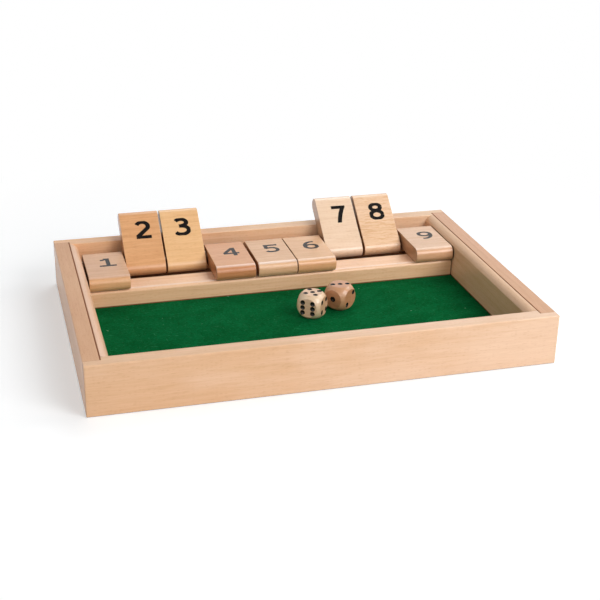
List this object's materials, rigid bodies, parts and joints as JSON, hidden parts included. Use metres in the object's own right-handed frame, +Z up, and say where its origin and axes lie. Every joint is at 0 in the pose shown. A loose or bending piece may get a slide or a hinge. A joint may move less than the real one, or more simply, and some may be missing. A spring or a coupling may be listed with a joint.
{
  "type": "shut the box game",
  "caption": "Wooden shut the box game: a felt-lined dice tray with numbered tiles that flip over on a hidden axle, and loose dice.",
  "frame": {"origin": "middle of the underside of the box, on the surface that it stands on", "axes": "+X to the player's right along the row of tiles, +Y away from the player, +Z up"},
  "size_m": [0.271, 0.1866, 0.0467],
  "materials": {
    "rail_wood": "satin varnished beech",
    "liner_wood": "satin varnished beech",
    "ledge_wood": "satin varnished beech",
    "panel_wood": "bare plywood",
    "axle_wood": "plain dowel",
    "felt": "deep green felt",
    "ink": "black printed numerals and pip paint",
    "tile_1_wood": "satin varnished beech",
    "tile_2_wood": "satin varnished beech",
    "tile_3_wood": "satin varnished beech",
    "tile_4_wood": "satin varnished beech",
    "tile_5_wood": "satin varnished beech",
    "tile_6_wood": "satin varnished beech",
    "tile_7_wood": "satin varnished beech",
    "tile_8_wood": "satin varnished beech",
    "tile_9_wood": "satin varnished beech",
    "die_1_wood": "satin varnished wood",
    "die_2_wood": "satin varnished wood, redder"
  },
  "bodies": {
    "box": {"front_rail": "rail_wood", "back_rail": "rail_wood", "left_rail": "rail_wood", "right_rail": "rail_wood", "base_panel": "panel_wood", "felt_sheet": "felt", "left_liner": "liner_wood", "right_liner": "liner_wood", "ledge_rail": "ledge_wood", "tile_axle": "axle_wood"},
    "tile_1": {"tile_1": "tile_1_wood"},
    "tile_2": {"tile_2": "tile_2_wood"},
    "tile_3": {"tile_3": "tile_3_wood"},
    "tile_4": {"tile_4": "tile_4_wood"},
    "tile_5": {"tile_5": "tile_5_wood"},
    "tile_6": {"tile_6": "tile_6_wood"},
    "tile_7": {"tile_7": "tile_7_wood"},
    "tile_8": {"tile_8": "tile_8_wood"},
    "tile_9": {"tile_9": "tile_9_wood"},
    "die_1": {"die_1": "die_1_wood"},
    "die_2": {"die_2": "die_2_wood"}
  },
  "joints": [
    {"name": "tile_1_flip", "type": "hinge", "parent": "box", "child": "tile_1", "pos_m": [-0.1066, 0.0653, 0.02215], "axis": [-1, 0, 0], "range_deg": [0, 140.58]},
    {"name": "tile_2_flip", "type": "hinge", "parent": "box", "child": "tile_2", "pos_m": [-0.08015, 0.0653, 0.02215], "axis": [-1, 0, 0], "range_deg": [-140.58, 0]},
    {"name": "tile_3_flip", "type": "hinge", "parent": "box", "child": "tile_3", "pos_m": [-0.0536, 0.0653, 0.02215], "axis": [-1, 0, 0], "range_deg": [-140.58, 0]},
    {"name": "tile_4_flip", "type": "hinge", "parent": "box", "child": "tile_4", "pos_m": [-0.0269, 0.0653, 0.02215], "axis": [-1, 0, 0], "range_deg": [0, 140.58]},
    {"name": "tile_5_flip", "type": "hinge", "parent": "box", "child": "tile_5", "pos_m": [0.0004, 0.0653, 0.02215], "axis": [-1, 0, 0], "range_deg": [0, 140.58]},
    {"name": "tile_6_flip", "type": "hinge", "parent": "box", "child": "tile_6", "pos_m": [0.02635, 0.0653, 0.02215], "axis": [-1, 0, 0], "range_deg": [0, 140.58]},
    {"name": "tile_7_flip", "type": "hinge", "parent": "box", "child": "tile_7", "pos_m": [0.0531, 0.0653, 0.02215], "axis": [-1, 0, 0], "range_deg": [-140.58, 0]},
    {"name": "tile_8_flip", "type": "hinge", "parent": "box", "child": "tile_8", "pos_m": [0.08005, 0.0653, 0.02215], "axis": [-1, 0, 0], "range_deg": [-140.58, 0]},
    {"name": "tile_9_flip", "type": "hinge", "parent": "box", "child": "tile_9", "pos_m": [0.1071, 0.0653, 0.02215], "axis": [-1, 0, 0], "range_deg": [0, 140.58]},
    {"name": "die_1_lift", "type": "slide", "parent": "box", "child": "die_1", "axis": [0, 0, 1], "range_m": [0, 0.06]},
    {"name": "die_2_lift", "type": "slide", "parent": "box", "child": "die_2", "axis": [0, 0, 1], "range_m": [0, 0.06]}
  ]
}
